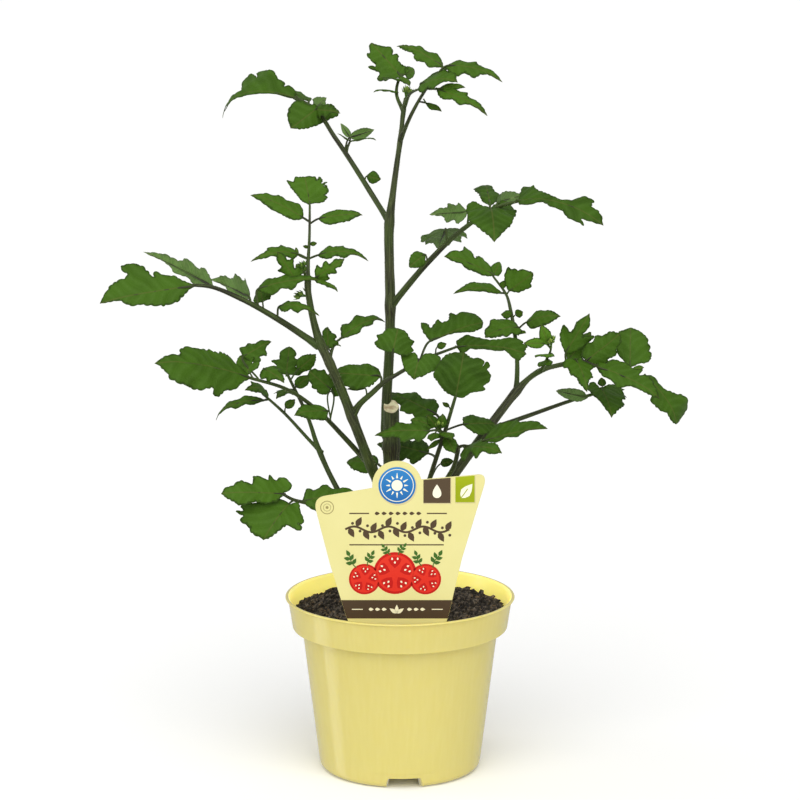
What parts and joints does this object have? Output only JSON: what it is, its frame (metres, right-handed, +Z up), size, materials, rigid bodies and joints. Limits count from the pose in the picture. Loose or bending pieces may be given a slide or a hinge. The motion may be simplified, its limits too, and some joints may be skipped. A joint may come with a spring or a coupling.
{
  "type": "potted tomato plant",
  "caption": "Young branching tomato plant with cut-edged compound leaves, standing in a round collared nursery pot of soil with a large stick-in plant label.",
  "frame": {"origin": "centre of the pot's foot, on the surface that the pot stands on", "axes": "+Z up, along the main stem; +X to the right and +Y to the back, as seen from the side that the label faces"},
  "size_m": [0.3245, 0.1487, 0.4108],
  "materials": {
    "pot_plastic": "pale yellow injection-moulded polypropylene, satin",
    "label_plastic": "pale yellow printed polystyrene sheet, slight gloss",
    "peat": "dark crumbly moist peat, dull",
    "stem_skin": "olive-brown finely haired stem skin",
    "leaf_skin": "dark green veined leaf, dull sheen, grey-green underneath"
  },
  "bodies": {
    "root": {"pot": "pot_plastic", "soil": "peat", "label": "label_plastic", "main_stem": "stem_skin", "leader_shoot": "stem_skin", "left_shoot": "stem_skin", "right_shoot": "stem_skin", "front_shoot": "stem_skin", "leaf_upper_left": "leaf_skin", "leaf_top_left": "leaf_skin", "leaf_top_right": "leaf_skin", "leaf_top_front": "leaf_skin", "leaf_upper_right": "leaf_skin", "leaf_long_left": "leaf_skin", "leaf_left_crown": "leaf_skin", "leaf_left_tip": "leaf_skin", "leaf_left_inner": "leaf_skin", "leaf_broad_left": "leaf_skin", "leaf_low_left": "leaf_skin", "leaf_drooping_left": "leaf_skin", "leaf_centre_right": "leaf_skin", "leaf_centre": "leaf_skin", "leaf_front_tip": "leaf_skin", "leaf_front_right": "leaf_skin", "leaf_right_crown": "leaf_skin", "leaf_right_tip": "leaf_skin", "leaf_right_young": "leaf_skin", "leaf_far_right": "leaf_skin", "leaf_bottom_left": "leaf_skin", "leaf_hidden_left": "leaf_skin"}
  },
  "joints": []
}
